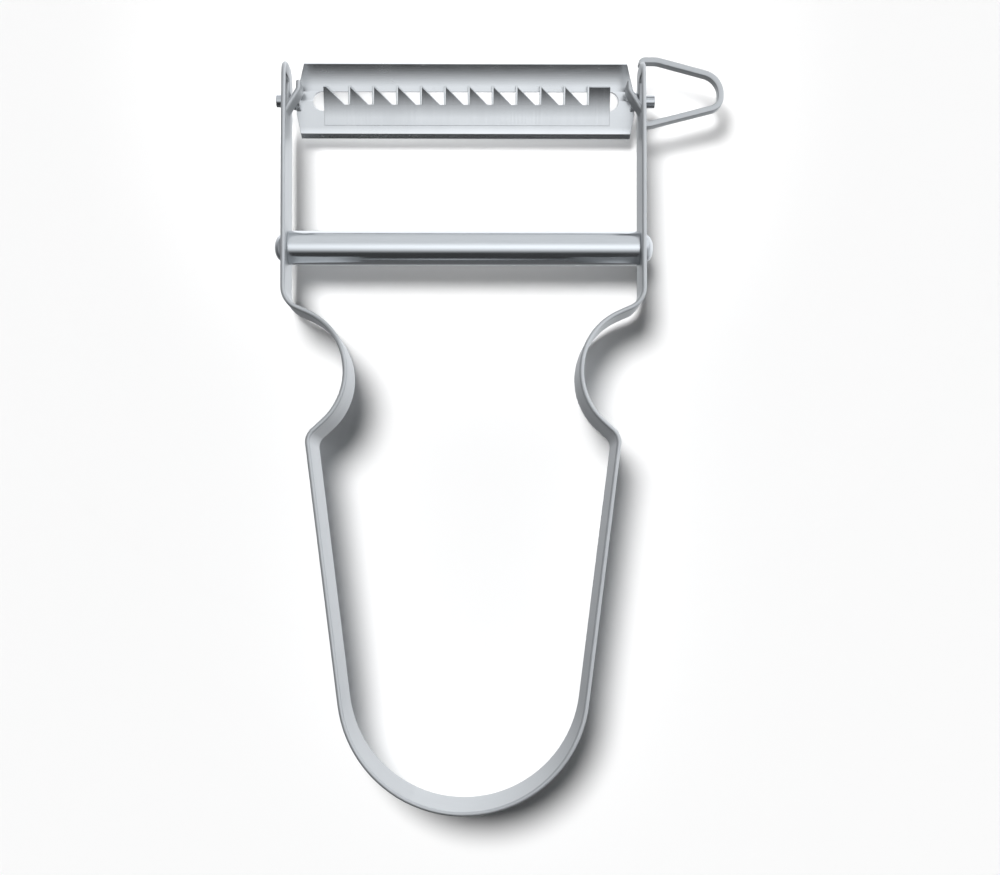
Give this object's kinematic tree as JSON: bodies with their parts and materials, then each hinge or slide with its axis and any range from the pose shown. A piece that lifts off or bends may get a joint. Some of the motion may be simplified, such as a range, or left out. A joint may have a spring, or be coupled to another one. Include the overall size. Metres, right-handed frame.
{
  "type": "julienne peeler",
  "caption": "All-steel swivel peeler: a slotted blade with a toothed julienne comb turns between the arms of a bent strip handle that has an eye remover loop.",
  "frame": {"origin": "under the middle of the outline, on the plane of the handle's rear edges", "axes": "+X across the arms towards the eye remover loop, +Y from the bow of the handle to the blade, +Z out of the front edges of the strip"},
  "size_m": [0.0676, 0.1128, 0.0142],
  "materials": {
    "strip_steel": "tumbled stainless strip with rounded edges",
    "loop_steel": "tumbled stainless strip",
    "tube_steel": "polished stainless tube",
    "pin_steel": "bright drawn stainless",
    "blade_steel": "smooth pressed stainless sheet",
    "comb_steel": "ground stainless sheet, fine scratches from the teeth to the foot"
  },
  "bodies": {
    "handle": {"frame_strip": "strip_steel", "eye_remover_loop": "loop_steel", "cross_tube": "tube_steel", "cross_rivet": "pin_steel"},
    "blade": {"blade_trough": "blade_steel", "julienne_comb": "comb_steel", "pivot_pin_left": "pin_steel", "pivot_pin_right": "pin_steel"}
  },
  "joints": [
    {"name": "blade_swivel", "type": "hinge", "parent": "handle", "child": "blade", "pos_m": [-0.0053, 0.0503, 0.0049], "axis": [1, 0, 0], "range_deg": [-58, 38]}
  ]
}
